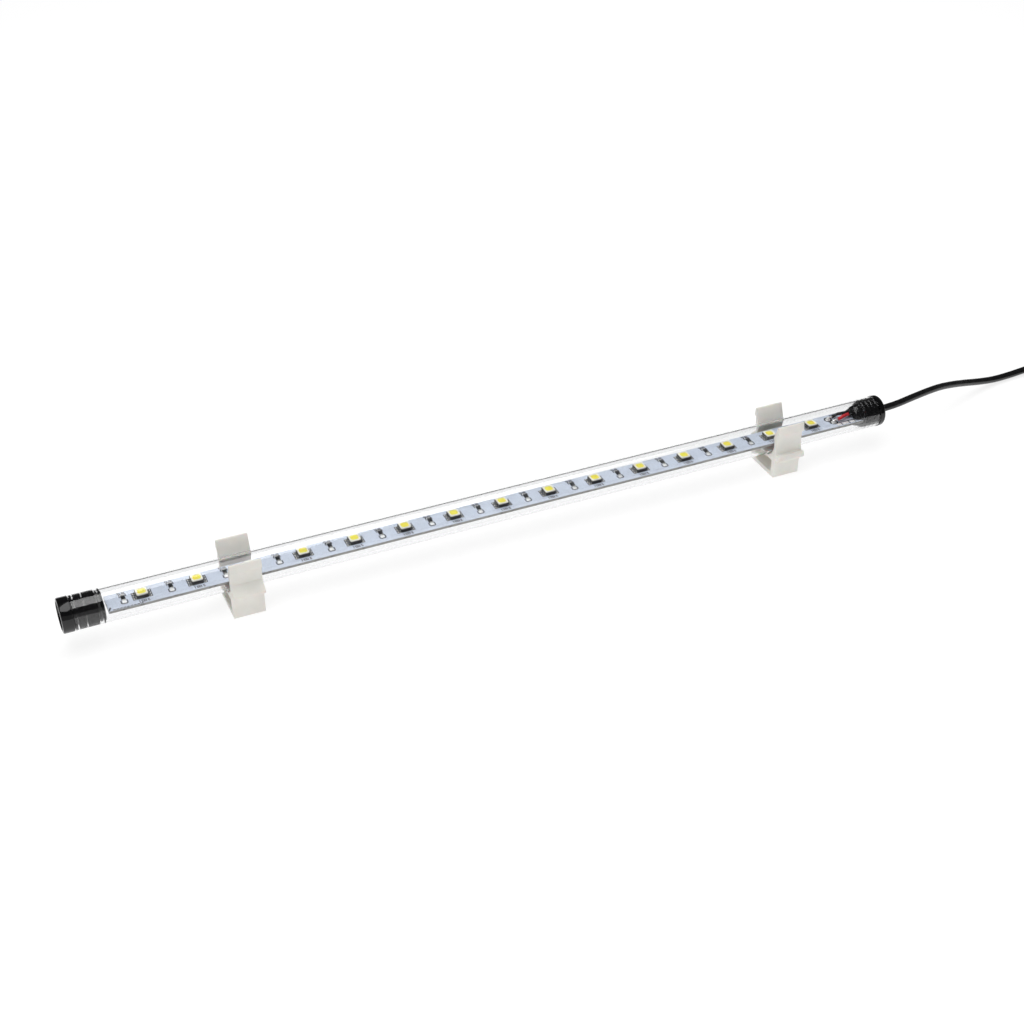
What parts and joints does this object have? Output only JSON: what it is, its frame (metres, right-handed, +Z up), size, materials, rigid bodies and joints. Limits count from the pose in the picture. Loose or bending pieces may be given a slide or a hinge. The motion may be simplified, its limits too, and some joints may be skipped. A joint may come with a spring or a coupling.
{
  "type": "led aquarium light",
  "caption": "Sealed clear round tube with a board of LEDs inside, black end caps, two push-on clips to stand on and a low-voltage lead with a round plug.",
  "frame": {"origin": "on the ground plane that both clips stand on, below the middle of the tube's length", "axes": "+X along the tube towards the end where the lead leaves, +Z up, +Y away from the viewer"},
  "size_m": [0.6093, 0.0386, 0.0254],
  "materials": {
    "clear_acrylic": "clear, polished",
    "black_moulding": "glossy black moulding",
    "seal_rubber": "satin",
    "board_coating": "pale blue-grey solder mask, satin",
    "led_housing": "white housing with a yellow phosphor window",
    "resistor_body": "black film on a white chip",
    "solder": "bright solder",
    "red_core": "red insulation",
    "cord_sheath": "glossy black sheath",
    "clip_plastic": "warm off-white, satin",
    "tie_plastic": "matt black",
    "plug_nickel": "nickel plate"
  },
  "bodies": {
    "tube_and_lead": {"clear_tube": "clear_acrylic", "cord_lead": "cord_sheath", "cord_hank": "cord_sheath", "hank_tie": "tie_plastic", "cord_tail": "cord_sheath", "plug_body": "black_moulding", "plug_sleeve": "plug_nickel", "plug_socket": "black_moulding"},
    "light_insert": {"left_end_cap": "black_moulding", "right_end_cap": "black_moulding", "left_seal_ring": "seal_rubber", "led_board": "board_coating", "led_01": "led_housing", "led_02": "led_housing", "led_03": "led_housing", "led_04": "led_housing", "led_05": "led_housing", "led_06": "led_housing", "led_07": "led_housing", "led_08": "led_housing", "led_09": "led_housing", "led_10": "led_housing", "led_11": "led_housing", "led_12": "led_housing", "led_13": "led_housing", "led_14": "led_housing", "led_15": "led_housing", "resistor_01": "resistor_body", "resistor_02": "resistor_body", "resistor_03": "resistor_body", "resistor_04": "resistor_body", "resistor_05": "resistor_body", "resistor_06": "resistor_body", "resistor_07": "resistor_body", "resistor_08": "resistor_body", "resistor_09": "resistor_body", "resistor_10": "resistor_body", "resistor_11": "resistor_body", "resistor_12": "resistor_body", "resistor_13": "resistor_body", "resistor_14": "resistor_body", "resistor_15": "resistor_body", "black_solder_joint": "solder", "red_solder_joint": "solder", "inner_cable": "cord_sheath", "black_lead": "cord_sheath", "red_lead": "red_core"},
    "left_clip": {"left_clip": "clip_plastic"},
    "right_clip": {"right_clip": "clip_plastic"}
  },
  "joints": [
    {"name": "light_turn", "type": "hinge", "parent": "tube_and_lead", "child": "light_insert", "pos_m": [0, 0, 0.0153], "axis": [1, 0, 0], "range_deg": [-180, 180]},
    {"name": "left_clip_slide", "type": "slide", "parent": "tube_and_lead", "child": "left_clip", "axis": [1, 0, 0], "range_m": [-0.058, 0.104]},
    {"name": "right_clip_slide", "type": "slide", "parent": "tube_and_lead", "child": "right_clip", "axis": [1, 0, 0], "range_m": [-0.121, 0.042]}
  ]
}
